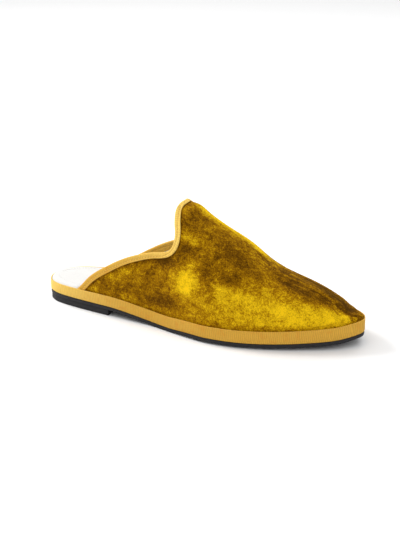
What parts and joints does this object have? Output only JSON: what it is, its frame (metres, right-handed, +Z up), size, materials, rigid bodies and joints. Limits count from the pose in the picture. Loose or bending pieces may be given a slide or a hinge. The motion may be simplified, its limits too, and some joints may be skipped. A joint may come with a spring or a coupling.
{
  "type": "babouche slipper",
  "caption": "Backless pointed-toe slipper: hollow velvet vamp with a high throat, ribbon-bound edges, thick cloth footbed and thin rubber sole with a heel lift.",
  "frame": {"origin": "on the floor under the middle of the slipper's bounding box", "axes": "+X along the foot to the toe, +Y to the inner side of the right foot, +Z up from the floor"},
  "size_m": [0.264, 0.0894, 0.0946],
  "materials": {
    "rubber": "matt black sheet rubber",
    "lining": "white quilted cotton",
    "ribbon": "ochre ribbed ribbon",
    "velvet": "mustard gold crushed velvet"
  },
  "bodies": {
    "root": {"outsole": "rubber", "heel_lift": "rubber", "insole": "lining", "sole_band": "ribbon", "upper": "velvet", "topline_binding": "ribbon"}
  },
  "joints": []
}
